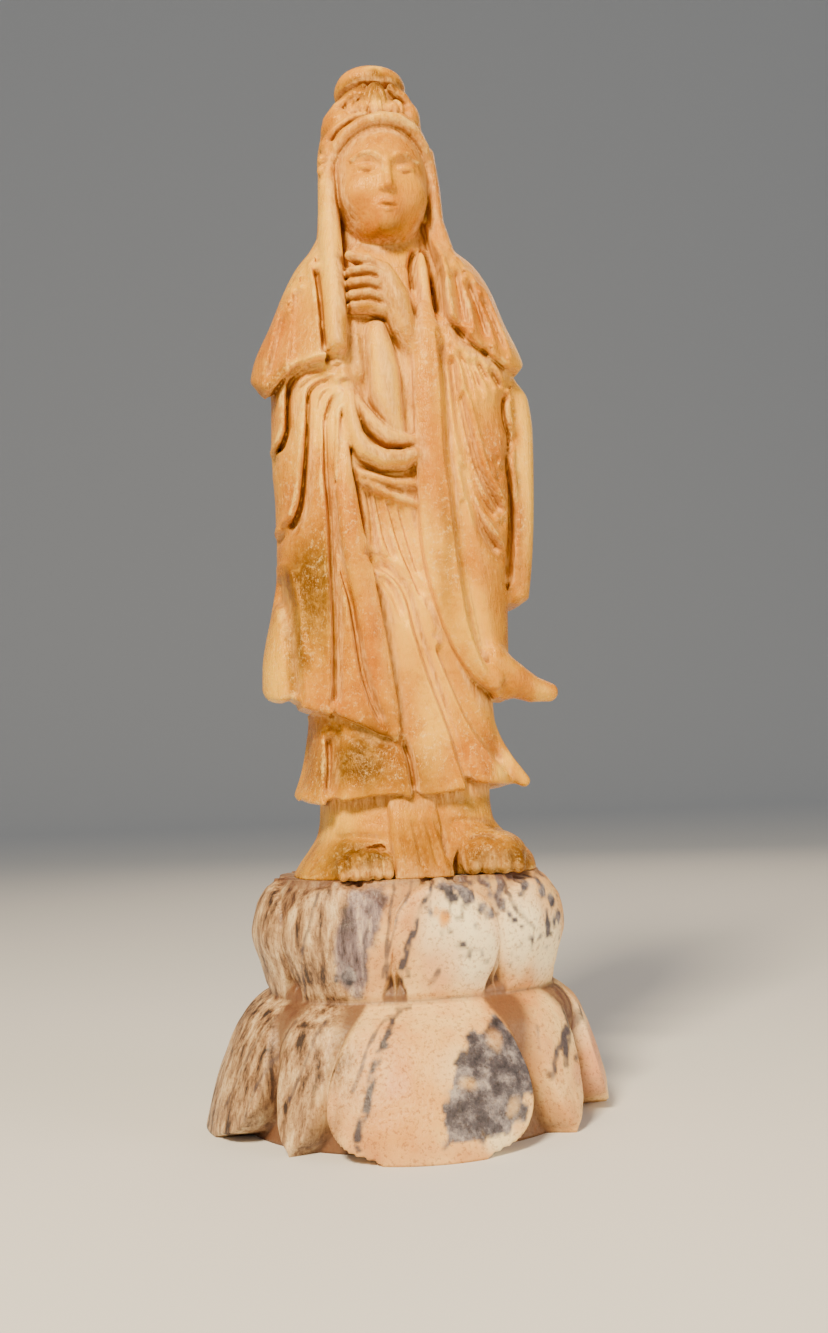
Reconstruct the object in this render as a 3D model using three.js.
// Standing Guanyin carved from one piece of honey-coloured soapstone, on a two-tier lotus
// pedestal of mottled cream and grey stone. Units are millimetres, +Z is up, the figure
// faces -Y, and the origin is the centre of the pedestal's underside.
import * as THREE from "three";
import { triTable } from "three/addons/objects/MarchingCubes.js";

// Driving sizes of the two stones
const PEDESTAL_HEIGHT = 56.5;
const FIGURE_HEIGHT = 200;
const WAIST_HEIGHT = 30;
const PETAL_REACH = 48;
const WAIST_HALF_WIDTH = 34.2;
const WAIST_HALF_DEPTH = 28.5;
const UPPER_HALF_WIDTH = 38;
const UPPER_HALF_DEPTH = 32;
const SEAT_HALF_WIDTH = 32.4;
const SEAT_HALF_DEPTH = 28.5;
const UPPER_SHIFT = 1.5;
const UPPER_PETAL_RELIEF = 3.2;
const LOWER_PETAL_RELIEF = 9;

// The figure is carved on a grid of a hundred parts to its height: x to the right, y to the
// back and z up from its seat. All of the figure's carving below is given in these parts.
const PART = FIGURE_HEIGHT / 100;

// How finely the two stones are faceted: the cubes their skins are found in and the facets kept
const FIGURE_FACETS = 7300;
const FIGURE_CELL = 1.15;
const PEDESTAL_FACETS = 2500;
const PEDESTAL_CELL = 1.5;
const BLOCK = 4;
const FINEST_CUT = 0.7;

const HONEY_STONE = new THREE.MeshStandardMaterial({ color: 0xd9a25c, roughness: 0.42, metalness: 0 });
const MOTTLED_STONE = new THREE.MeshStandardMaterial({ color: 0xcdb497, roughness: 0.55, metalness: 0 });

// Small mathematical helpers
const clamp = (v, low, high) => Math.min(high, Math.max(low, v));
const mix = (a, b, t) => a + (b - a) * t;

function smoothstep(from, to, v) {
  const t = clamp((v - from) / (to - from), 0, 1);
  return t * t * (3 - 2 * t);
}

function softMin(a, b, blend) {
  const h = clamp(0.5 + (0.5 * (b - a)) / blend, 0, 1);
  return mix(b, a, h) - blend * h * (1 - h);
}

const softMax = (a, b, blend) => -softMin(-a, -b, blend);

// A smooth run of values through stations [t, value, value, ...] with no overshoot
function stations(rows) {
  const slope = (i, k) => (rows[i + 1][k] - rows[i][k]) / (rows[i + 1][0] - rows[i][0]);
  const tangent = (i, k) => {
    if (i === 0 || i === rows.length - 1) return 0;
    const before = slope(i - 1, k);
    const after = slope(i, k);
    return before * after <= 0 ? 0 : (2 * before * after) / (before + after);
  };
  const tangents = rows.map((row, i) => row.map((_, k) => (k ? tangent(i, k) : 0)));
  return (t) => {
    let i = 0;
    while (i < rows.length - 2 && t > rows[i + 1][0]) i += 1;
    const span = rows[i + 1][0] - rows[i][0];
    const u = clamp((t - rows[i][0]) / span, 0, 1);
    const values = [];
    for (let k = 1; k < rows[i].length; k += 1) {
      const a = rows[i][k];
      const b = rows[i + 1][k];
      const ta = tangents[i][k] * span;
      const tb = tangents[i + 1][k] * span;
      values.push(
        a * (2 * u ** 3 - 3 * u ** 2 + 1) + ta * (u ** 3 - 2 * u ** 2 + u) +
        b * (-2 * u ** 3 + 3 * u ** 2) + tb * (u ** 3 - u ** 2),
      );
    }
    return values;
  };
}

// Distance to an oval section; a squareness of 2 is an ellipse and more is boxier
function ovalDistance(x, y, halfWidth, halfDepth, squareness) {
  const px = Math.max(Math.abs(x), 1e-6) / halfWidth;
  const py = Math.max(Math.abs(y), 1e-6) / halfDepth;
  const q = (px ** squareness + py ** squareness) ** (1 / squareness);
  const gx = px ** (squareness - 1) / halfWidth;
  const gy = py ** (squareness - 1) / halfDepth;
  return (q - 1) / (q ** (1 - squareness) * Math.hypot(gx, gy));
}

// A garment or block whose section [left, right, front, back] follows its height
function column(rows, squareness) {
  const section = stations(rows);
  const bottom = rows[0][0];
  const top = rows[rows.length - 1][0];
  return (x, y, z) => {
    if (z < bottom - 3) return bottom - z;
    if (z > top + 3) return z - top;
    const [left, right, front, back] = section(z);
    const d = ovalDistance(
      x - (left + right) / 2, y - (front + back) / 2,
      (right - left) / 2, (back - front) / 2, squareness,
    );
    return Math.max(d, bottom - z, z - top);
  };
}

function ellipsoid(cx, cy, cz, rx, ry, rz) {
  return (x, y, z) => {
    const px = (x - cx) / rx;
    const py = (y - cy) / ry;
    const pz = (z - cz) / rz;
    const q = Math.hypot(px, py, pz) || 1e-6;
    return ((q - 1) * q) / (Math.hypot(px / rx, py / ry, pz / rz) || 1e-6);
  };
}

// A round limb or rope of stone through points [x, y, z, radius]; a limb in relief runs
// `deep` times its radius into the stone behind it
function limb(points, deep = 1) {
  const nodes = points.map(([x, y, z, r]) => [x, y / deep + (r * (deep - 1)) / deep, z, r]);
  const low = [0, 1, 2].map((k) => Math.min(...nodes.map((p) => p[k] - p[3])) - 2);
  const high = [0, 1, 2].map((k) => Math.max(...nodes.map((p) => p[k] + p[3])) + 2);
  return (x, worldY, z) => {
    const y = worldY / deep;
    const outside = Math.max(low[0] - x, x - high[0], low[1] - y, y - high[1], low[2] - z, z - high[2]);
    if (outside > 0) return outside + 2;
    let nearest = Infinity;
    for (let i = 0; i < nodes.length - 1; i += 1) {
      const [ax, ay, az, ar] = nodes[i];
      const [bx, by, bz, br] = nodes[i + 1];
      const dx = bx - ax;
      const dy = by - ay;
      const dz = bz - az;
      const along = (x - ax) * dx + (y - ay) * dy + (z - az) * dz;
      const t = clamp(along / (dx * dx + dy * dy + dz * dz), 0, 1);
      const away = Math.hypot(x - ax - dx * t, y - ay - dy * t, z - az - dz * t);
      nearest = Math.min(nearest, away - mix(ar, br, t));
    }
    return nearest;
  };
}

// A smooth line through a few drawn points
function drawn(points) {
  const curve = new THREE.SplineCurve(points.map(([x, z]) => new THREE.Vector2(x, z)));
  return curve.getPoints((points.length - 1) * 3).map((p) => [p.x, p.y]);
}

// Signed distance from (x, z) to a drawn line: its size is the distance, and for a line
// drawn downwards it is negative on the right
function lineDistance(points, x, z) {
  let best = Infinity;
  let side = 1;
  for (let i = 0; i < points.length - 1; i += 1) {
    const [ax, az] = points[i];
    const dx = points[i + 1][0] - ax;
    const dz = points[i + 1][1] - az;
    const t = clamp(((x - ax) * dx + (z - az) * dz) / (dx * dx + dz * dz), 0, 1);
    const away = Math.hypot(x - ax - dx * t, z - az - dz * t);
    if (away < best) {
      best = away;
      side = (x - ax) * dz - (z - az) * dx >= 0 ? 1 : -1;
    }
  }
  return best * side;
}

// A closed outline drawn on the front: negative inside
function outline(points) {
  const loop = drawn([...points, points[0]]);
  const low = [0, 1].map((k) => Math.min(...loop.map((p) => p[k])) - 2);
  const high = [0, 1].map((k) => Math.max(...loop.map((p) => p[k])) + 2);
  return (x, z) => {
    const outside = Math.max(low[0] - x, x - high[0], low[1] - z, z - high[1]);
    if (outside > 0) return outside + 2;
    let inside = false;
    for (let i = 0; i < loop.length - 1; i += 1) {
      const [ax, az] = loop[i];
      const [bx, bz] = loop[i + 1];
      if (az > z !== bz > z && x < ((bx - ax) * (z - az)) / (bz - az) + ax) inside = !inside;
    }
    const away = Math.abs(lineDistance(loop, x, z));
    return inside ? -away : away;
  };
}

// Cuts of the chisel, each [depth, width to the left, width to the right, points over x and
// z, drawn downwards]; a cut that is wide on one side only leaves a lapped edge of cloth
function chiselled(cuts) {
  const lines = cuts.map(([depth, leftWidth, rightWidth, points]) => {
    const line = drawn(points);
    const left = Math.max(leftWidth, FINEST_CUT);
    const right = Math.max(rightWidth, FINEST_CUT);
    const reach = 2.4 * Math.max(left, right);
    const low = [0, 1].map((k) => Math.min(...line.map((p) => p[k])) - reach);
    const high = [0, 1].map((k) => Math.max(...line.map((p) => p[k])) + reach);
    return { depth, left, right, line, low, high };
  });
  return (x, z) => {
    let cut = 0;
    for (const { depth, left, right, line, low, high } of lines) {
      if (x < low[0] || x > high[0] || z < low[1] || z > high[1]) continue;
      const away = lineDistance(line, x, z);
      const share = away / (away > 0 ? left : right);
      cut = Math.max(cut, depth * Math.exp(-share * share));
    }
    return cut;
  };
}

// Hems of the garments: the height of the hem over x, on the front and on the back
const SKIRT_HEM_FRONT = stations([
  [-14.4, 9.4], [-11.8, 8.6], [-9.4, 8.8], [-3.7, 9.4], [0.9, 9.2], [4.7, 9.7], [8.2, 10.2], [11.7, 10], [14.6, 9.4],
]);
const SKIRT_HEM_BACK = stations([[-14, 9.4], [-4, 8.8], [5, 9], [15, 9.6]]);
const SLEEVE_HEM_FRONT = stations([
  [-17.4, 22.2], [-16.4, 20.9], [-13.2, 20], [-12, 19.2], [-9.6, 18.7], [-6.8, 17.5], [-4, 16.1],
  [-1.6, 15.4], [1.3, 16.4], [5, 19], [8.8, 20.2], [11, 20.2], [13.8, 19.7], [16.4, 19.8], [19, 20.6],
]);
const SLEEVE_HEM_BACK = stations([[-17.4, 22.2], [-9, 20.4], [0, 19.4], [9, 19.8], [19, 20.4]]);
const CAPE_HEM_FRONT = stations([
  [-18, 59.4], [-17.1, 58.9], [-16.2, 57.7], [-15.4, 57.2], [-14.5, 57.8], [-13.4, 59.1], [-9.8, 59.9], [-8, 60.8], [-3.4, 62],
  [2.3, 66], [4.8, 66], [6.2, 64.6], [8.5, 62.4], [11, 60.9], [13.2, 59.9], [14.6, 60], [16, 61.3], [17.2, 62.3],
]);
const CAPE_HEM_BACK = stations([
  [-18, 61], [-15, 60.6], [-12, 59.6], [-9, 58.8], [0, 57.6], [9, 58.8], [12, 60.4], [15, 61.8], [17, 63],
]);
const STRIP_END = 31.8;

function hem(front, back) {
  return (x, y) => mix(back(x)[0], front(x)[0], smoothstep(4, -4, y));
}
const skirtHem = hem(SKIRT_HEM_FRONT, SKIRT_HEM_BACK);
const sleeveHem = hem(SLEEVE_HEM_FRONT, SLEEVE_HEM_BACK);
const capeHem = hem(CAPE_HEM_FRONT, CAPE_HEM_BACK);

// The open front of the outer robe, where the skirt shows between the two sleeves
const robeOpening = outline([
  [-7.2, 58], [-7, 52], [-6.8, 48], [-6.1, 43], [-5.4, 38], [-4.5, 33.8], [-3.6, 28.5], [-2.9, 23.5], [-2.3, 19], [-2, 15],
  [1.4, 10.9], [7, 15.7], [9.8, 20.3], [6.9, 22.6], [4.4, 26], [2.9, 30.4], [1.8, 34], [1.2, 39], [1, 48], [0.9, 57.3],
  [1.2, 66.4], [-1.6, 67.4],
]);

// The open front of the cape, where the chest and the raised hand show
const capeOpening = outline([
  [-6.7, 79.8], [-6.7, 71.7], [-6.8, 65.7], [-6.7, 59.8], [-3.2, 54.1], [4.4, 56.6], [5, 65],
  [5.3, 69.6], [5, 73.6], [3.5, 80.5], [-1.9, 82.1],
]);

// Folds of the sleeves, the robe, the skirt and the cape
const frontCuts = chiselled([
  // left sleeve: folds that fan out from the forearm and run down
  [0.8, 0.3, 0.9, [[-8.7, 59.5], [-10.9, 59.4], [-12.4, 58.9], [-13.1, 57.9], [-13.3, 55.7], [-13.4, 52.8], [-14, 50.9], [-15, 49.8]]],
  [0.55, 0.3, 0.7, [[-8.4, 58.5], [-10.4, 58.2], [-11.8, 57.3], [-12.4, 56], [-12.5, 53]]],
  [1.0, 0.3, 1.1, [[-7.9, 57.7], [-9.3, 57.8], [-10.5, 57.3], [-11.1, 56.2], [-11.3, 52.6], [-11.7, 47.9], [-12.3, 43.4], [-13.2, 41.1],
                   [-14.4, 40.6]]],
  [0.7, 0.3, 0.8, [[-7.9, 56.9], [-8.6, 56.7], [-9.4, 56.2], [-10, 54.8], [-10.4, 51.5], [-10.9, 47.7]]],
  [0.9, 0.35, 0.8, [[-7.8, 56.3], [-8.4, 55.6], [-8.9, 54.4], [-9.3, 53], [-9.4, 50.9], [-9.4, 46.5], [-9.1, 41.1], [-9.1, 35.3],
                    [-9.1, 29.4], [-9.3, 22.1], [-9.7, 18.9]]],
  [0.55, 0.3, 0.6, [[-7.6, 55.8], [-8, 54.9], [-8.4, 53.5], [-8.7, 50.9], [-9, 47.2]]],
  [0.55, 0.3, 0.6, [[-7.3, 54.8], [-7.6, 53.6], [-7.8, 50.9], [-8.1, 47.3], [-8.7, 44]]],
  [0.7, 0.3, 0.6, [[-9, 46.4], [-8.8, 40], [-8.1, 35], [-7.3, 31.6], [-6.8, 27.9], [-6.3, 23.8], [-5.3, 20.1], [-4.1, 17.4]]],
  [0.8, 1.0, 0.4, [[-14.8, 36], [-13.9, 31.7], [-13.7, 28], [-13.6, 24.4], [-13.3, 20.4]]],
  // right sleeve: the border band, long folds and the strip along the edge
  [0.8, 0.45, 1.0, [[4.3, 63], [4.6, 58.7], [4.7, 53.5], [4.7, 49.1], [5.2, 43.9], [5.5, 39.2], [6, 34.4], [6.7, 29.1], [8, 25],
                    [9.6, 22.2]]],
  [0.9, 0.3, 0.9, [[6, 61.1], [6.2, 56.6], [6.5, 52.9], [7.2, 49.1], [7.8, 46.6], [9, 43.5], [11.2, 41.5]]],
  [0.75, 0.3, 0.8, [[6.7, 56.6], [6.9, 54.7], [7.7, 51], [8.6, 47.3], [10.2, 44.4], [11.9, 42.1]]],
  [0.7, 0.3, 0.9, [[6.9, 48.3], [7.1, 46.5], [7.9, 43.2], [9.2, 39.8], [11.4, 37.5]]],
  [0.7, 0.35, 0.9, [[6.1, 44], [6.3, 38.8], [6.6, 35.2], [7.7, 29.1], [8.6, 25]]],
  [0.6, 0.3, 0.5, [[6.5, 61.6], [7.6, 59.4], [8.1, 56]]],
  [0.6, 0.3, 0.5, [[7.9, 60.8], [8.6, 58.9], [9.2, 56.4]]],
  [0.6, 0.3, 0.5, [[8.8, 60.9], [9.8, 59], [10.7, 57.6]]],
  [0.5, 0.3, 0.5, [[10.4, 60], [11.6, 58.4], [12.6, 57.2]]],
  [0.7, 0.3, 0.8, [[13.2, 52], [12.5, 50], [11.9, 48.2], [11.2, 47]]],
  [0.4, 0.5, 0.3, [[11.6, 49.4], [11, 48], [11.2, 47]]],
  [0.7, 0.9, 0.3, [[13.4, 57.4], [12.5, 55.7], [12.7, 53.4], [13.3, 51.8], [12.7, 49.2], [13.2, 45.4], [13.4, 41.6], [13.1, 37.8],
                   [12.8, 34.6]]],
  // robe in the middle, skirt and its hem
  [0.6, 0.3, 0.6, [[-4.9, 45.4], [-4.4, 42.8], [-4.2, 39.8], [-4.4, 37.7]]],
  [0.7, 0.3, 0.7, [[-3.9, 45], [-3.3, 42], [-2.7, 39.1], [-1.7, 36.2]]],
  [0.7, 0.3, 0.7, [[-2.7, 44.2], [-1.9, 41.7], [-0.9, 38], [0.3, 34.7], [1.4, 31.8]]],
  [0.6, 0.3, 0.6, [[-1.4, 43.5], [-0.5, 40.6], [0.4, 36.9], [1.2, 34]]],
  [0.9, 0.4, 1.1, [[-4.5, 36.3], [-2.9, 35.5], [-1.3, 34], [-0.3, 31.8], [0.4, 28.6], [2, 22.9], [3.6, 18.1], [4.4, 15.5],
                   [5.1, 12.5], [6, 9.6]]],
  [0.5, 0.3, 0.7, [[-3.8, 34.7], [-2.2, 32.6], [-1.2, 29.6]]],
  [0.7, 0.4, 1.0, [[2.6, 26.8], [3.7, 24.1], [5.5, 19.6], [7.2, 16.5], [9.1, 14.2], [10.9, 12.1]]],
  [0.9, 0.35, 0.5, [[-1.9, 15.9], [-1.4, 14.4], [-1, 12.8], [-0.7, 9.4]]],
  [0.8, 0.45, 1.0, [[-10, 17.6], [-9.7, 15.8], [-9.8, 12.7], [-10.3, 9.2]]],
  [0.4, 0.5, 0.6, [[-12, 18.9], [-12.1, 15.3], [-12.5, 12], [-12.9, 9.6]]],
  // cape: the edge beside each veil band, and its folds
  [1.0, 0.4, 0.9, [[-9.5, 72.4], [-9.4, 69.5], [-9.2, 66], [-9.1, 61]]],
  [0.7, 0.4, 1.0, [[-11.6, 70], [-12.2, 66.3], [-12.7, 62], [-13, 59.6]]],
  [0.6, 0.4, 0.9, [[-13.2, 67], [-14.2, 63.4], [-15.4, 58.6]]],
  [0.7, 0.9, 0.35, [[5.2, 72.3], [4.9, 68.7], [5.1, 65.6]]],
  [0.9, 0.9, 0.35, [[7.1, 72.6], [7.3, 69.1], [7.7, 64]]],
  [0.8, 0.9, 0.35, [[8.4, 70.9], [9.5, 67.6], [10.5, 62.6]]],
  [0.5, 0.8, 0.3, [[10.1, 69.2], [11.4, 66], [12.7, 61.6]]],
  // the edge of the collar beside the neck
  [1.2, 0.5, 0.5, [[3.2, 75.6], [4.1, 74.6], [4.5, 73], [4.6, 70.3], [4.8, 66.2]]],
  [1, 0.5, 0.5, [[3.2, 75.6], [2.4, 74.6], [2, 73.2], [1.8, 71.3], [1.9, 68.6]]],
]);

const backCuts = chiselled([
  [0.9, 1.3, 1.3, [[-7.6, 70], [-9.4, 64], [-11, 57]]],
  [0.9, 1.3, 1.3, [[6.8, 70], [8.8, 64], [10.8, 57]]],
  [0.8, 1.2, 1.2, [[-2.6, 71], [-3.4, 64], [-4.2, 56]]],
  [0.8, 1.2, 1.2, [[2, 71], [3, 64], [3.8, 56]]],
  [0.9, 1.4, 1.4, [[-10, 56], [-10.2, 40], [-11.2, 20]]],
  [0.9, 1.4, 1.4, [[9.4, 56], [9.8, 40], [9.6, 20]]],
  [0.8, 1.4, 1.4, [[-4.8, 55], [-4.6, 40], [-5.4, 18]]],
  [0.8, 1.4, 1.4, [[2.8, 55], [3, 40], [3.6, 18]]],
  [0.8, 1, 1, [[-7, 19], [-8, 8]]],
  [0.8, 1, 1, [[-0.4, 19], [-0.4, 8]]],
  [0.8, 1, 1, [[5.6, 19], [7, 8]]],
]);

// The lower robe that spreads over the feet
const ankles = column([
  [0, -13.7, 15, -12.4, 9.7], [1.2, -13.1, 14.8, -12.2, 9.5], [3, -11.8, 13.5, -11.8, 9.1], [4.6, -10.8, 11.3, -11.3, 8.7],
  [6.4, -10.4, 10, -10.8, 8.4], [8.6, -10.3, 9.8, -10.3, 8.2], [13.3, -10.4, 9.9, -10, 8.2],
], 2.8);

// The skirt, flaring to a hem with a pointed corner at the right
const skirt = column([
  [8.2, -13.7, 12.8, -12.3, 10.1], [9.6, -13.4, 12.6, -12.1, 10], [11.9, -12.6, 12, -11.8, 9.6], [14.4, -12, 11.3, -11.3, 9.2],
  [20, -11.3, 10.7, -10.7, 8.6], [31.7, -11, 10.8, -10.3, 8.4], [49.5, -10.5, 9.8, -9.5, 7.9],
], 2.7);
const skirtCorner = limb([[9.4, -4.8, 16, 1.2], [11.4, -5.1, 12.6, 1.3], [13.6, -5.3, 10.4, 0.8]]);

// The outer robe with its wide sleeves, drawn as one mass and opened at the front
const robe = column([
  [15, -16.2, 11.7, -11.9, 9.4], [21.4, -16.9, 12.6, -12.3, 9.6], [25, -16.8, 12.8, -12.4, 9.7], [31.6, -15.6, 13, -12.4, 9.5],
  [38, -14.7, 13.8, -12.2, 9.4], [44.5, -14.7, 14.7, -12.2, 9.3], [50.4, -15, 15, -12.1, 9.1], [56.7, -14.9, 15, -11.8, 9],
  [61.8, -15, 15, -11, 8.8], [72.1, -10.6, 10.6, -8.7, 7.5],
], 2.6);
const sleeveTip = limb([
  [9, -8.6, 24.4, 2.3], [12.2, -7.4, 22.4, 2.1], [14.7, -6.6, 21.3, 1.6], [17, -6, 20.9, 1.15],
]);
const robeEdges = [
  limb([
    [3, -9.7, 66.4, 1.2], [2.8, -10.5, 63.2, 1.7], [2.75, -10.8, 57.6, 1.75], [2.8, -11, 47.6, 1.75], [3.2, -11.1, 42.5, 1.8],
    [3.6, -11.1, 37.4, 1.8], [4.2, -11, 33, 1.8], [5.2, -10.8, 28.8, 1.7], [6.6, -10.6, 25.6, 1.5], [9.4, -9.8, 22.4, 1.4],
  ], 0.75),
  limb([
    [-7.9, -10.6, 54, 1], [-7.9, -10.9, 46.5, 1.3], [-7.1, -11, 38.7, 1.6], [-5.8, -11.2, 31.1, 1.65],
    [-4.6, -11.3, 24, 1.6], [-3.6, -11.5, 19.4, 1.2], [-2.9, -11.8, 16.6, 0.6],
  ], 0.75),
];
const outerStrip = column([
  [STRIP_END, 10, 14.8, -5.4, 4.5], [STRIP_END + 0.9, 10, 15.9, -5.8, 4.9], [45.4, 10.9, 17, -6.4, 5.1],
  [53.2, 10.8, 17.2, -6.5, 5.2], [57.1, 10.7, 16.8, -6.4, 5], [60.6, 10.7, 15, -5.8, 4.6],
], 3.2);

// The chest inside the cape, with the tongue of its collar, and the rough stone left
// standing in the deep corners beside the forearm and under the cuff
const chest = column([
  [38, -10.8, 9.9, -9.6, 7.9], [44, -10.9, 9.9, -10.6, 7.9], [52, -11.2, 9.7, -10.7, 8], [59.6, -11.2, 9.7, -10.4, 8],
  [63.5, -11, 9.7, -9.6, 7.8], [67.9, -10.5, 9.6, -8.5, 7.5], [74.2, -8.1, 7.1, -7.2, 6.5], [79.4, -5.7, 4.4, -4.9, 5.5],
], 2.4);
const tongue = limb([[3.3, -7, 74.1, 0.8], [3.1, -8.3, 71.6, 1.15], [3.2, -9.2, 68.4, 1.25], [3.5, -9.8, 65.6, 1.2]], 2);
const heaps = [
  limb([[-7.4, -9.4, 61, 1.5], [-7, -9.9, 57.6, 1.5], [-6, -9.6, 55.4, 1.2]], 2),
  limb([[-5.2, -9.8, 62.4, 1.2], [-5.2, -10, 58.4, 1.2]], 2),
  limb([[-6.7, -9.8, 48.4, 1.1], [-5.6, -9.8, 46.2, 1.2], [-3, -9.8, 45.2, 1.3], [0.9, -10, 45.6, 1.2]], 2),
  limb([[0.9, -9.2, 62.5, 1.1], [0.9, -9.9, 55, 1], [0.8, -10, 49, 1]], 2),
];

// The shoulder cape
const cape = column([
  [53.6, -17.6, 17, -12.6, 11.2], [60.3, -17.3, 16.8, -12.8, 11], [61.8, -17, 16.4, -12.8, 10.8], [66.8, -14.8, 14.2, -12.2, 10.1],
  [70.5, -13.3, 12.9, -11.3, 9.5], [73.5, -11.8, 11.2, -10.2, 8.9], [76.3, -9.8, 8.2, -8.6, 8.4],
  [79.4, -8.4, 6.7, -6.8, 7.8], [82.6, -8, 6.5, -5.4, 7.4],
], 2.4);

// Head, veil, hair and the flat round cap on the topknot
const head = ellipsoid(-1.05, -2.9, 83.8, 6.2, 7.4, 8.2);
const veil = column([
  [68, -8.8, 9, -7.3, 8.5], [76.3, -8.2, 7.3, -6.2, 8.1], [80.5, -8.1, 6.6, -5.7, 7.8], [85.8, -7.9, 6.5, -5.2, 7.6],
  [89.4, -8, 6.5, -5, 7.2], [91.7, -7.7, 5.9, -4.9, 6.6], [93.6, -7, 4.9, -4.5, 5.8], [95.6, -5.8, 3.7, -3.9, 5],
], 2.3);
const band = limb([
  [-7.1, -5, 88.3, 0.95], [-7.5, -5.6, 84.2, 1.15], [-7.6, -6.9, 78.6, 1.3], [-7.7, -8.5, 73.5, 1.4],
  [-7.8, -10.5, 67.8, 1.4], [-7.9, -11.7, 63.8, 1.4], [-7.9, -12, 61.6, 1.25],
], 2);
const veilRight = limb([
  [5, -4.7, 88.1, 1], [5.5, -4.7, 83.6, 1.1], [5.6, -5.5, 79.2, 1.1], [6.2, -7, 75.3, 1.2], [6.9, -8.5, 72, 1],
], 2);
const hairline = limb([
  [-7.3, -4.4, 85.2, 0.95], [-6.4, -6, 87.8, 1.05], [-5.2, -6.9, 89.2, 1.1], [-3.4, -7.5, 90.3, 1.1], [-1.2, -7.9, 90.9, 1.1],
  [0.8, -7.8, 90.8, 1.1], [2.7, -7.1, 90, 1.1], [4.2, -6, 88.4, 1.05], [5.2, -4.6, 86, 0.95],
], 2.5);
const hairLobes = [
  ellipsoid(-5.6, -2, 91.9, 2.2, 4, 2.2),
  ellipsoid(3, -1.8, 93, 1.7, 3.7, 2.6),
  ellipsoid(-1.1, 1.6, 92.8, 4.9, 4.9, 3.8),
  ellipsoid(-1.2, -2.4, 92.6, 3.9, 3.4, 2.7),
];
const ribbons = [
  limb([[-2.7, -4.9, 96.4, 0.5], [-4.4, -4.7, 95, 0.7], [-5.9, -4.2, 93.9, 0.75], [-7, -3.2, 92.9, 0.6]], 2),
  limb([[-2.9, -6.2, 92.2, 0.55], [-4.8, -5.9, 91.5, 0.7], [-6.5, -5.1, 90.4, 0.8], [-7.5, -4, 89.2, 0.75]], 2),
  limb([[0.8, -4.9, 96.6, 0.5], [2.3, -4.6, 95.4, 0.7], [3.4, -3.9, 94, 0.75], [4.1, -3, 92.4, 0.65]], 2),
  limb([[1.6, -6.2, 92.2, 0.5], [2.9, -5.5, 91.8, 0.6], [4.1, -4.2, 90.8, 0.55]], 2),
];
const topknot = column([
  [89, -5.1, 3, -4.3, 4.6], [94.8, -5.4, 2.9, -4.4, 4.5], [96.5, -5.4, 2.9, -4.3, 4.4], [97, -4.9, 2.5, -3.9, 4.1],
  [97.6, -5.6, 3.2, -4.7, 4.8], [98.2, -5.7, 3.3, -4.8, 4.9], [99.1, -5.4, 3, -4.6, 4.6], [99.7, -4.8, 2.4, -4, 4.1], [100, -4.2, 1.8, -3.5, 3.6],
], 2.2);
const fan = [
  ellipsoid(-1.3, -5, 94.2, 1.5, 1.7, 2.7),
  ellipsoid(-3.4, -4.6, 93.3, 1.6, 1.7, 1.5),
  ellipsoid(0.9, -4.7, 93.4, 1.5, 1.7, 1.5),
];
const brow = limb([[-3.9, -9.1, 86.3, 0.35], [-2.6, -9.9, 86.9, 0.35], [-1.05, -9.6, 86.4, 0.3], [0.5, -9.9, 86.9, 0.35], [1.8, -9.1, 86.3, 0.35]]);
const nose = limb([[-1.05, -9.9, 86.2, 0.4], [-1.05, -10.8, 82.4, 0.75]]);
const lips = limb([[-2.2, -9.6, 79.9, 0.3], [-1.05, -10.2, 79.7, 0.5], [0.1, -9.6, 79.9, 0.3]]);
const chin = ellipsoid(-1.05, -7.9, 77.4, 2.4, 2.4, 1.8);

// The raised hand with its fingers to the left, and the forearm that comes out of the cuff
const palm = [
  limb([[1.3, -9.9, 61.2, 1.4], [0, -11, 64, 1.8], [-0.9, -11.6, 66.8, 2], [-1.7, -11.6, 69, 1.7]], 1.8),
  limb([[0, -10.6, 68, 1.2], [-1.9, -11.4, 70.6, 1.1], [-4, -11.7, 71.6, 0.8], [-6, -11.2, 72.5, 0.5]], 2),
];
const fingers = [[70.35, 0.72], [68.95, 0.8], [67.5, 0.78], [66.15, 0.68]].map(([z, r]) => (
  limb([[-2.3, -11.9, z - 0.5, r + 0.08], [-4, -12.1, z, r], [-5.8, -11.3, z + 0.1, r * 0.9]], 2.5)
));
const forearm = limb([
  [-3, -10.4, 63.4, 1.7], [-2.8, -10.9, 61.2, 1.9], [-2.45, -11.2, 58.5, 2.05], [-2.3, -11.2, 56, 2.05], [-1.9, -11.1, 53.6, 1.85],
  [-1.3, -10.8, 51.2, 1.5],
], 1.8);
const cuff = [
  limb([
    [-6.5, -10.9, 55.7, 0.75], [-6.35, -11.4, 53, 0.9], [-6, -11.7, 50.8, 1.05], [-5, -12, 49, 1.2], [-2.9, -12.2, 47.9, 1.3],
    [-0.8, -12, 47.9, 1.25], [0.6, -11.7, 48.5, 1.1],
  ], 2),
  limb([[-5.7, -10.8, 55.2, 0.6], [-4.9, -11.1, 53.6, 0.95], [-3.7, -11.4, 51.9, 1.2], [-2.1, -11.6, 50.5, 1.25], [0.4, -11.4, 50.2, 0.9]], 2),
  limb([[-5.7, -10.9, 46.6, 0.55], [-3.8, -11.2, 45.9, 0.6], [-1.6, -11.3, 45.3, 0.55], [0.9, -11.1, 45.2, 0.5]], 2),
  limb([[-5.7, -10.5, 45.7, 0.45], [-4, -10.8, 45, 0.5], [-2.2, -10.9, 44.1, 0.5], [0.9, -10.8, 43, 0.45]], 2),
];

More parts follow.
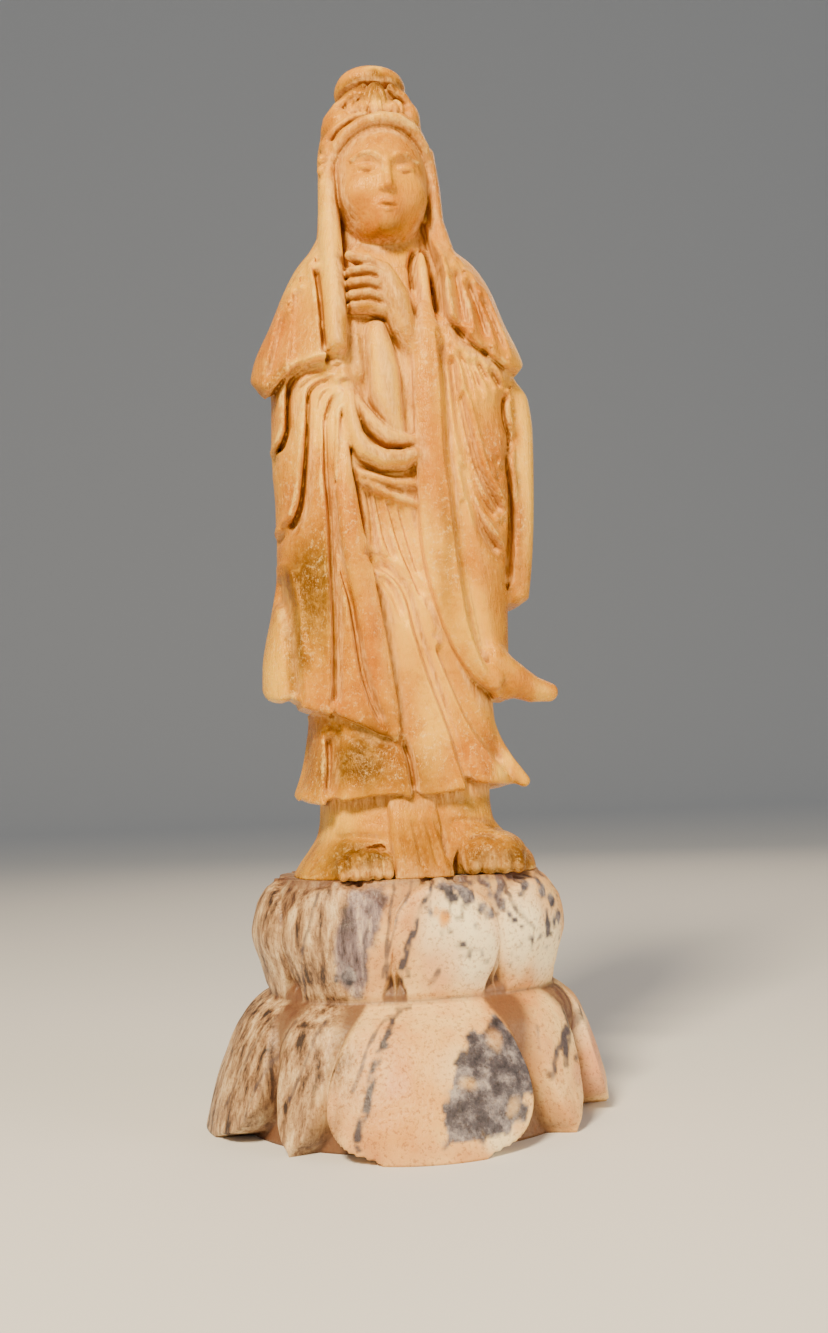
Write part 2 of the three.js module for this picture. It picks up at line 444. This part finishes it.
// Feet, toes and the sash that hangs between them
const toes = [
  [-9.4, 0.5], [-8, 0.58], [-6.7, 0.62], [-5.4, 0.66], [-4.3, 0.6], [5.2, 1.1], [7, 0.85], [8.5, 0.8], [9.9, 0.7],
].map(([x, r]) => limb([[x, -10.6, 2.9 - r, r], [x, -12.3, 2.2 - r * 0.6, r], [x, -13, r, r]]));
const feet = [ellipsoid(-7, -9, 1, 3.2, 3.9, 2.1), ellipsoid(7.8, -8.6, 1.2, 4.2, 4.6, 2.7)];
const footHollows = [
  outline([[-10.4, -2], [-10.3, 1], [-9.6, 2.5], [-8.3, 3.2], [-6.3, 3.5], [-4.2, 3.5], [-3.7, -2]]),
  outline([[3.4, -2], [3.4, 1.6], [4.6, 3.3], [7, 4.1], [9.6, 3.6], [11.6, 1.9], [12.4, -2]]),
];
const sash = column([[0, -3.7, 3.4, -13.4, -8], [2.5, -3.7, 2.8, -13, -8], [6.4, -3.7, 2.1, -12.1, -8], [10.4, -3.7, 1.6, -11, -7]], 5);

function footing(x, y, z) {
  if (z > 15.4) return z - 13.3;
  let d = ankles(x, y, z);
  if (y < 0) {
    const hollow = Math.min(footHollows[0](x, z), footHollows[1](x, z));
    d = softMax(d, -Math.max(hollow, y + 10.4), 0.5);
  }
  d = Math.min(d, sash(x, y, z));
  for (const foot of feet) d = Math.min(d, foot(x, y, z));
  for (const toe of toes) d = softMin(d, toe(x, y, z), 0.3);
  return d;
}

function garments(x, y, z) {
  if (z < 6) return 9 - z;
  let outer = softMax(robe(x, y, z), sleeveHem(x, y) - z, 0.6);
  let shoulders = softMax(cape(x, y, z), capeHem(x, y) - z, 0.6);
  if (y < 0) {
    if (Math.abs(outer) < 4) outer = softMax(outer, -robeOpening(x, z), 0.5);
    if (Math.abs(shoulders) < 4) shoulders = softMax(shoulders, -capeOpening(x, z), 0.5);
  }
  outer = softMin(sleeveTip(x, y, z), outer, 1.4);
  for (const edge of robeEdges) outer = softMin(outer, edge(x, y, z), 0.6);
  const strip = outerStrip(x, y, z);
  let lower = softMin(skirtCorner(x, y, z), skirt(x, y, z), 1);
  lower = softMax(lower, skirtHem(x, y) - z, 0.5);
  let upper = softMin(chest(x, y, z), tongue(x, y, z), 0.5);
  for (const heap of heaps) upper = softMin(upper, heap(x, y, z), 0.8);
  const d = Math.min(outer, strip, shoulders, lower, upper);
  if (Math.abs(d) > 2.5) return d;
  const front = smoothstep(1.5, -1.5, y);
  return d + mix(backCuts(x, z), frontCuts(x, z), front);
}

function headAndHair(x, y, z) {
  if (z < 58) return 60.5 - z;
  let face = softMin(head(x, y, z), chin(x, y, z), 1.2);
  for (const feature of [brow, nose, lips]) face = softMin(face, feature(x, y, z), 0.7);
  let d = Math.min(face, veil(x, y, z));
  for (const roll of [band, veilRight, hairline]) d = softMin(d, roll(x, y, z), 0.4);
  if (z < 84) return d;
  for (const lobe of hairLobes) d = softMin(d, lobe(x, y, z), 0.5);
  d = softMin(d, topknot(x, y, z), 0.2);
  for (const lobe of fan) d = softMin(d, lobe(x, y, z), 0.3);
  for (const ribbon of ribbons) d = softMin(d, ribbon(x, y, z), 0.3);
  return d;
}

function arms(x, y, z) {
  if (z < 39 || z > 78) return Math.max(42 - z, z - 75);
  let d = softMin(palm[0](x, y, z), palm[1](x, y, z), 0.8);
  for (const finger of fingers) d = softMin(d, finger(x, y, z), 0.3);
  d = softMin(d, forearm(x, y, z), 0.4);
  for (const roll of cuff) d = softMin(d, roll(x, y, z), 0.4);
  return d;
}

// Distance from the figure's carved surface, negative inside the stone
function carved(x, y, z) {
  const body = Math.min(garments(x, y, z), footing(x, y, z));
  return softMin(softMin(body, headAndHair(x, y, z), 0.5), arms(x, y, z), 0.5);
}

// The skin of a stone that is given by a distance, found in small cubes of the side `cell`
// within the box from `low` to `high`; only its outer skin is kept
function skinOf(distance, low, high, cell, reach) {
  const counts = [0, 1, 2].map((k) => Math.ceil((high[k] - low[k]) / cell / BLOCK) * BLOCK + 1);
  const [nx, ny, nz] = counts;
  const at = (i, j, k) => i + nx * (j + ny * k);
  const field = new Float32Array(nx * ny * nz).fill(1);
  const place = (i, k) => low[k] + i * cell;
  const busy = [];
  for (let k = 0; k < nz - 1; k += BLOCK) {
    for (let j = 0; j < ny - 1; j += BLOCK) {
      for (let i = 0; i < nx - 1; i += BLOCK) {
        const d = distance(...[i, j, k].map((n, axis) => place(n + BLOCK / 2, axis)));
        if (d > reach) continue;
        if (d > -2 * reach) busy.push([i, j, k]);
        else fillBlock(i, j, k, () => -1);
      }
    }
  }
  function fillBlock(i0, j0, k0, value) {
    for (let k = k0; k <= k0 + BLOCK; k += 1) {
      for (let j = j0; j <= j0 + BLOCK; j += 1) {
        for (let i = i0; i <= i0 + BLOCK; i += 1) field[at(i, j, k)] = value(i, j, k);
      }
    }
  }
  for (const [i0, j0, k0] of busy) fillBlock(i0, j0, k0, () => 2);
  for (const [i0, j0, k0] of busy) {
    fillBlock(i0, j0, k0, (i, j, k) => {
      const known = field[at(i, j, k)];
      return known === 2 ? distance(place(i, 0), place(j, 1), place(k, 2)) : known;
    });
  }

  // Corners of a cube and the corners that each of its edges joins
  const corners = [[0, 0, 0], [1, 0, 0], [1, 1, 0], [0, 1, 0], [0, 0, 1], [1, 0, 1], [1, 1, 1], [0, 1, 1]];
  const edges = [[0, 1], [1, 2], [2, 3], [3, 0], [4, 5], [5, 6], [6, 7], [7, 4], [0, 4], [1, 5], [2, 6], [3, 7]];
  const found = new Map();
  const points = [];
  const faces = [];
  for (let k = 0; k < nz - 1; k += 1) {
    for (let j = 0; j < ny - 1; j += 1) {
      for (let i = 0; i < nx - 1; i += 1) {
        let cube = 0;
        corners.forEach(([a, b, c], bit) => {
          if (field[at(i + a, j + b, k + c)] < 0) cube |= 1 << bit;
        });
        if (cube === 0 || cube === 255) continue;
        const row = cube * 16;
        for (let t = 0; triTable[row + t] !== -1; t += 3) {
          faces.push([t, t + 1, t + 2].map((n) => {
            const [from, to] = edges[triTable[row + n]].map((c) => [i + corners[c][0], j + corners[c][1], k + corners[c][2]]);
            const [a, b] = [at(...from), at(...to)];
            const key = Math.min(a, b) * 4 + [1, nx, nx * ny].indexOf(Math.abs(a - b));
            if (!found.has(key)) {
              const share = clamp(field[a] / (field[a] - field[b]), 0.04, 0.96);
              found.set(key, points.length);
              points.push([0, 1, 2].map((axis) => low[axis] + cell * mix(from[axis], to[axis], share)));
            }
            return found.get(key);
          }));
        }
      }
    }
  }
  return outerSkin(points, faces);
}

// Keeps the largest connected skin and turns its facets to face outwards
function outerSkin(points, faces) {
  const group = points.map((_, i) => i);
  const root = (i) => {
    while (group[i] !== i) {
      group[i] = group[group[i]];
      i = group[i];
    }
    return i;
  };
  for (const [a, b, c] of faces) {
    group[root(a)] = root(b);
    group[root(b)] = root(c);
  }
  const sizes = new Map();
  for (const [a] of faces) sizes.set(root(a), (sizes.get(root(a)) || 0) + 1);
  const largest = [...sizes].sort((p, q) => q[1] - p[1])[0][0];
  const kept = faces.filter(([a]) => root(a) === largest);
  let volume = 0;
  for (const [a, b, c] of kept) {
    const [p, q, r] = [points[a], points[b], points[c]];
    volume += p[0] * (q[1] * r[2] - q[2] * r[1]) - p[1] * (q[0] * r[2] - q[2] * r[0]) + p[2] * (q[0] * r[1] - q[1] * r[0]);
  }
  return { points, faces: volume > 0 ? kept : kept.map(([a, b, c]) => [a, c, b]) };
}

// Evens out the small steps of the cubes without shrinking the form; flats stay flat
function evened({ points, faces }, flats, passes) {
  const near = points.map(() => new Set());
  for (const f of faces) f.forEach((v, k) => near[v].add(f[(k + 1) % 3]).add(f[(k + 2) % 3]));
  for (let pass = 0; pass < 2 * passes; pass += 1) {
    const pull = pass % 2 ? -0.53 : 0.5;
    const before = points.map((p) => [...p]);
    points.forEach((p, i) => {
      if (!near[i].size) return;
      const middle = [0, 0, 0];
      for (const j of near[i]) before[j].forEach((v, k) => { middle[k] += v / near[i].size; });
      const flat = flats.includes(p[2]);
      for (let k = 0; k < (flat ? 2 : 3); k += 1) p[k] += pull * (middle[k] - before[i][k]);
    });
  }
  return { points, faces };
}

// Brings the points that lie within a hair of a flat face exactly onto it
function levelled({ points, faces }, flats, hair) {
  for (const p of points) for (const flat of flats) if (Math.abs(p[2] - flat) < hair) p[2] = flat;
  return { points, faces };
}

// Squared distances from the planes of the facets around a point, as ten sums
function planeSums([ax, ay, az], [bx, by, bz], [cx, cy, cz]) {
  let nx = (by - ay) * (cz - az) - (bz - az) * (cy - ay);
  let ny = (bz - az) * (cx - ax) - (bx - ax) * (cz - az);
  let nz = (bx - ax) * (cy - ay) - (by - ay) * (cx - ax);
  const area = Math.hypot(nx, ny, nz) || 1e-9;
  nx /= area;
  ny /= area;
  nz /= area;
  const w = -(nx * ax + ny * ay + nz * az);
  return [nx * nx, nx * ny, nx * nz, nx * w, ny * ny, ny * nz, ny * w, nz * nz, nz * w, w * w].map((v) => v * area);
}

function sumsAt(q, x, y, z) {
  return q[0] * x * x + 2 * q[1] * x * y + 2 * q[2] * x * z + 2 * q[3] * x + q[4] * y * y +
    2 * q[5] * y * z + 2 * q[6] * y + q[7] * z * z + 2 * q[8] * z + q[9];
}

function bestPoint(q, a, b, flats) {
  const middle = [0, 1, 2].map((k) => (a[k] + b[k]) / 2);
  const pull = 1e-3 * (q[0] + q[4] + q[7]);
  const m = [q[0] + pull, q[1], q[2], q[4] + pull, q[5], q[7] + pull];
  const r = [pull * middle[0] - q[3], pull * middle[1] - q[6], pull * middle[2] - q[8]];
  const det = m[0] * (m[3] * m[5] - m[4] ** 2) - m[1] * (m[1] * m[5] - m[4] * m[2]) + m[2] * (m[1] * m[4] - m[3] * m[2]);
  const x = (r[0] * (m[3] * m[5] - m[4] ** 2) - m[1] * (r[1] * m[5] - m[4] * r[2]) + m[2] * (r[1] * m[4] - m[3] * r[2])) / det;
  const y = (m[0] * (r[1] * m[5] - m[4] * r[2]) - r[0] * (m[1] * m[5] - m[4] * m[2]) + m[2] * (m[1] * r[2] - r[1] * m[2])) / det;
  const z = (m[0] * (m[3] * r[2] - r[1] * m[4]) - m[1] * (m[1] * r[2] - r[1] * m[2]) + r[0] * (m[1] * m[4] - m[3] * m[2])) / det;
  const reach = Math.hypot(a[0] - b[0], a[1] - b[1], a[2] - b[2]);
  const far = Math.hypot(x - middle[0], y - middle[1], z - middle[2]) > 2 * reach + 1e-6;
  const point = Number.isFinite(x + y + z) && !far ? [x, y, z] : middle;
  for (const flat of flats) if (a[2] === flat || b[2] === flat) point[2] = flat;
  return point;
}

// Cuts a fine solid down to fewer facets, joining first the pairs of points whose loss
// changes the form least and keeping the solid closed and its flats flat; where `care` is
// high more facets are kept
function thinned({ points, faces }, kept, flats, care) {
  const place = points.map((p) => [...p]);
  const around = points.map(() => new Set());
  const corners = faces.map((f) => [...f]);
  const sums = points.map(() => new Array(10).fill(0));
  const add = (q, s) => s.forEach((v, k) => { q[k] += v; });
  corners.forEach((f, index) => {
    const weight = care(...place[f[0]]);
    const s = planeSums(...f.map((v) => place[v])).map((v) => v * weight);
    f.forEach((v) => {
      around[v].add(index);
      add(sums[v], s);
    });
  });
  const stamp = points.map(() => 0);
  const heap = [];
  const less = (i, j) => heap[i].cost < heap[j].cost;
  const swap = (i, j) => { [heap[i], heap[j]] = [heap[j], heap[i]]; };
  const push = (item) => {
    heap.push(item);
    let i = heap.length - 1;
    while (i > 0 && less(i, (i - 1) >> 1)) {
      swap(i, (i - 1) >> 1);
      i = (i - 1) >> 1;
    }
  };
  const pop = () => {
    const top = heap[0];
    const last = heap.pop();
    if (heap.length) {
      heap[0] = last;
      for (let i = 0; ;) {
        let child = 2 * i + 1;
        if (child >= heap.length) break;
        if (child + 1 < heap.length && less(child + 1, child)) child += 1;
        if (!less(child, i)) break;
        swap(i, child);
        i = child;
      }
    }
    return top;
  };
  const offer = (a, b) => {
    const q = sums[a].map((v, k) => v + sums[b][k]);
    const to = bestPoint(q, place[a], place[b], flats);
    push({ a, b, to, cost: Math.max(0, sumsAt(q, ...to)), sa: stamp[a], sb: stamp[b] });
  };
  const neighbours = (v) => {
    const set = new Set();
    for (const f of around[v]) for (const c of corners[f]) if (c !== v) set.add(c);
    return set;
  };
  const turnsOver = (v, other, to) => {
    for (const f of around[v]) {
      const c = corners[f];
      if (c.includes(other)) continue;
      const before = c.map((k) => place[k]);
      const after = c.map((k) => (k === v ? to : place[k]));
      const normals = [before, after].map(([p, q, r]) => {
        const u = [0, 1, 2].map((k) => q[k] - p[k]);
        const w = [0, 1, 2].map((k) => r[k] - p[k]);
        return [u[1] * w[2] - u[2] * w[1], u[2] * w[0] - u[0] * w[2], u[0] * w[1] - u[1] * w[0]];
      });
      const [n, m] = normals.map((k) => Math.hypot(...k));
      const dot = normals[0].reduce((sum, k, i) => sum + k * normals[1][i], 0);
      const longest = Math.max(...[0, 1, 2].map((i) => Math.hypot(...[0, 1, 2].map((k) => after[i][k] - after[(i + 1) % 3][k]))));
      if (dot < 0.25 * n * m || m < 0.05 * longest * longest) return true;
    }
    return false;
  };
  corners.forEach(([a, b, c]) => {
    if (a < b) offer(a, b);
    if (b < c) offer(b, c);
    if (c < a) offer(c, a);
  });
  let left = corners.length;
  while (left > kept && heap.length) {
    const { a, b, to, sa, sb } = pop();
    if (stamp[a] !== sa || stamp[b] !== sb) continue;
    const near = neighbours(a);
    const shared = [...neighbours(b)].filter((v) => near.has(v));
    if (shared.length !== 2 || turnsOver(a, b, to) || turnsOver(b, a, to)) continue;
    for (const f of [...around[b]]) {
      const c = corners[f];
      if (c.includes(a)) {
        for (const v of c) around[v].delete(f);
        corners[f] = null;
        left -= 1;
      } else {
        c[c.indexOf(b)] = a;
        around[a].add(f);
      }
    }
    around[b].clear();
    place[a] = to;
    add(sums[a], sums[b]);
    stamp[a] += 1;
    stamp[b] = -1;
    for (const v of neighbours(a)) offer(a, v);
  }
  const used = new Map();
  const keptPoints = [];
  const keptFaces = corners.filter(Boolean).map((f) => f.map((v) => {
    if (!used.has(v)) {
      used.set(v, keptPoints.length);
      keptPoints.push(place[v]);
    }
    return used.get(v);
  }));
  return { points: keptPoints, faces: keptFaces };
}

function meshOf({ points, faces }, material, name) {
  const geometry = new THREE.BufferGeometry();
  geometry.setAttribute("position", new THREE.Float32BufferAttribute(points.flat(), 3));
  geometry.setIndex(faces.flat());
  geometry.computeVertexNormals();
  const mesh = new THREE.Mesh(geometry, material);
  mesh.name = name;
  return mesh;
}

function guanyinFigure() {
  const inMillimetres = (x, y, z) => Math.max(carved(x / PART, y / PART, z / PART) * PART, -z);
  const low = [-19, -15.5, 0].map((v) => v * PART);
  low[2] = -FIGURE_CELL / 2;
  const high = [19.5, 13, 101].map((v) => v * PART);
  const rough = skinOf(inMillimetres, low, high, FIGURE_CELL, 2.6 * PART);
  const skin = evened(levelled(rough, [0], FIGURE_CELL / 4), [0], 2);
  const care = (x, y, z) => {
    const carving = z > 60 * PART && z < 92 * PART && y < -3 * PART ? 2.5 : 1;
    return carving * mix(1, 0.3, smoothstep(-2 * PART, 5 * PART, y));
  };
  const mesh = meshOf(thinned(skin, FIGURE_FACETS, [0], care), HONEY_STONE, "guanyin_figure");
  mesh.position.set(UPPER_SHIFT, 0, PEDESTAL_HEIGHT);
  return mesh;
}

// Petals of the pedestal: each has a middle angle and a half-angle, in degrees
const petals = (list) => list.map(([middle, half]) => ({ middle, half }));
const LOWER_PETALS = petals([[-3, 33], [97, 36], [182, 34], [268, 38]]);
const TUCKED_PETALS = petals([[45, 15], [139, 12], [224, 12], [316, 15]]);
const UPPER_PETALS = petals([6, 51, 96, 141, 186, 231, 276, 321].map((middle) => [middle, 24]));
const PEEKING_PETALS = petals([28.5, 73.5, 118.5, 163.5, 208.5, 253.5, 298.5, 343.5].map((middle) => [middle, 13]));

// Outlines of the petals: the share of the half-angle they fill, from the waist to their tips
const SHIELD = stations([[0, 0.8], [0.3, 0.94], [0.5, 1], [0.68, 0.98], [0.82, 0.9], [0.92, 0.76], [1, 0.5]]);
const POINTED = stations([[0, 0.7], [0.25, 0.95], [0.5, 1], [0.75, 0.86], [0.9, 0.66], [1, 0.4]]);
const ROUNDED = stations([[0, 0.74], [0.25, 0.92], [0.5, 1], [0.68, 0.95], [0.82, 0.78], [0.92, 0.5], [1, 0.12]]);
const WEDGE = stations([[0, 0.05], [0.3, 0.3], [0.7, 0.85], [1, 1.15]]);

const wrapDegrees = (a) => ((((a + 180) % 360) + 360) % 360) - 180;

// Tier outlines: [height, half-width, half-depth, squareness]
const lowerTier = stations([
  [0, PETAL_REACH, PETAL_REACH, 2.05],
  [0.18 * WAIST_HEIGHT, PETAL_REACH - 0.7, PETAL_REACH - 0.9, 2.05],
  [0.53 * WAIST_HEIGHT, mix(WAIST_HALF_WIDTH, PETAL_REACH, 0.72), mix(WAIST_HALF_DEPTH, PETAL_REACH, 0.7), 2.1],
  [0.82 * WAIST_HEIGHT, mix(WAIST_HALF_WIDTH, PETAL_REACH, 0.44), mix(WAIST_HALF_DEPTH, PETAL_REACH, 0.42), 2.15],
  [0.965 * WAIST_HEIGHT, WAIST_HALF_WIDTH + 1.6, WAIST_HALF_DEPTH + 1.6, 2.3],
  [WAIST_HEIGHT, WAIST_HALF_WIDTH, WAIST_HALF_DEPTH, 2.3],
]);
const upTier = (share) => mix(WAIST_HEIGHT, PEDESTAL_HEIGHT, share);
const upperTier = stations([
  [WAIST_HEIGHT, WAIST_HALF_WIDTH, WAIST_HALF_DEPTH, 2.3],
  [upTier(0.07), WAIST_HALF_WIDTH + 0.8, WAIST_HALF_DEPTH + 1.4, 2.3],
  [upTier(0.27), UPPER_HALF_WIDTH - 1.7, UPPER_HALF_DEPTH - 0.6, 2.35],
  [upTier(0.52), UPPER_HALF_WIDTH, UPPER_HALF_DEPTH, 2.4],
  [upTier(0.76), UPPER_HALF_WIDTH - 1.2, UPPER_HALF_DEPTH - 1, 2.5],
  [upTier(0.91), mix(SEAT_HALF_WIDTH, UPPER_HALF_WIDTH, 0.42), mix(SEAT_HALF_DEPTH, UPPER_HALF_DEPTH, 0.5), 2.6],
  [PEDESTAL_HEIGHT, SEAT_HALF_WIDTH, SEAT_HALF_DEPTH, 2.7],
]);

// How far the strongest of the petals stands proud, at share v of its length
function petalSwell(list, outlineShare, degrees, v, edge, dome) {
  const share = outlineShare(v)[0];
  let swell = 0;
  for (const { middle, half } of list) {
    const u = Math.abs(wrapDegrees(degrees - middle)) / (half * share);
    if (u < 1) swell = Math.max(swell, smoothstep(0, edge, (1 - u) * share) * (1 - dome * u * u));
  }
  return swell;
}

function pedestalRadius(degrees, z) {
  const lower = z < WAIST_HEIGHT;
  const [halfWidth, halfDepth, squareness] = (lower ? lowerTier : upperTier)(z);
  const turn = (degrees * Math.PI) / 180;
  const px = Math.abs(Math.sin(turn)) / halfWidth;
  const py = Math.abs(Math.cos(turn)) / halfDepth;
  const outer = 1 / (px ** squareness + py ** squareness) ** (1 / squareness);
  if (!lower) {
    const v = (z - WAIST_HEIGHT) / (PEDESTAL_HEIGHT - WAIST_HEIGHT);
    const relief = UPPER_PETAL_RELIEF * smoothstep(0, 0.15, v);
    const petal = petalSwell(UPPER_PETALS, ROUNDED, degrees, v, 0.1, 0.4);
    const peeking = 0.45 * petalSwell(PEEKING_PETALS, WEDGE, degrees, v, 0.3, 0.3);
    return outer - relief * (1 - Math.max(petal, peeking));
  }
  const v = (WAIST_HEIGHT - z) / WAIST_HEIGHT;
  const relief = smoothstep(-0.05, 0.9, v) * LOWER_PETAL_RELIEF;
  const big = petalSwell(LOWER_PETALS, SHIELD, degrees, v, 0.14, 0.12);
  const tucked = 0.72 * petalSwell(TUCKED_PETALS, POINTED, degrees, v, 0.7, 0.2);
  return outer - relief * (1 - Math.max(big, tucked));
}

function lotusPedestal() {
  const distance = (x, y, z) => {
    const shift = UPPER_SHIFT * clamp(z / WAIST_HEIGHT, 0, 1);
    const degrees = (Math.atan2(x - shift, -y) * 180) / Math.PI;
    const side = 0.8 * (Math.hypot(x - shift, y) - pedestalRadius(degrees, z));
    return Math.max(side, -z, z - PEDESTAL_HEIGHT);
  };
  const edge = PETAL_REACH + 2 * PEDESTAL_CELL;
  const low = [-edge, -edge, -PEDESTAL_CELL / 2];
  const high = [edge, edge, PEDESTAL_HEIGHT + PEDESTAL_CELL];
  const flats = [0, PEDESTAL_HEIGHT];
  const rough = skinOf(distance, low, high, PEDESTAL_CELL, 8);
  const skin = evened(levelled(rough, flats, PEDESTAL_CELL / 4), flats, 2);
  return meshOf(thinned(skin, PEDESTAL_FACETS, flats, () => 1), MOTTLED_STONE, "lotus_pedestal");
}

const statue = new THREE.Group();
statue.add(guanyinFigure(), lotusPedestal());

export default statue;
